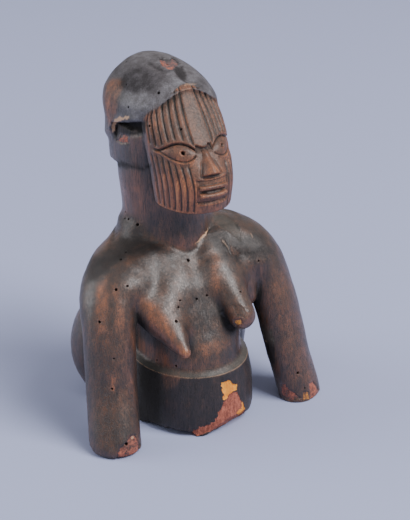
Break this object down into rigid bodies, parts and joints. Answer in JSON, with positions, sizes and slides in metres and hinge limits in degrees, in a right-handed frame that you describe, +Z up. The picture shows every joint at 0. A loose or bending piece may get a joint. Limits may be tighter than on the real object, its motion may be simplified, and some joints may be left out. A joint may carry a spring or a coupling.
{
  "type": "wooden bust",
  "caption": "Carved wooden half-figure of a woman with a fluted mask-like face, arms hanging free of the body, broken off at the hips and wrists.",
  "frame": {"origin": "on the flat underside of the hips, at the middle of the rounded front of the hips, level with the floor it stands on", "axes": "+Z up, the figure faces -Y, its own left arm is at +X"},
  "size_m": [0.1521, 0.1106, 0.2055],
  "materials": {
    "carved_bust": "dark reddish-brown worn patina with a soft sheen, raw orange-brown wood in the chips"
  },
  "bodies": {
    "root": {"carved_bust": "carved_bust"}
  },
  "joints": []
}
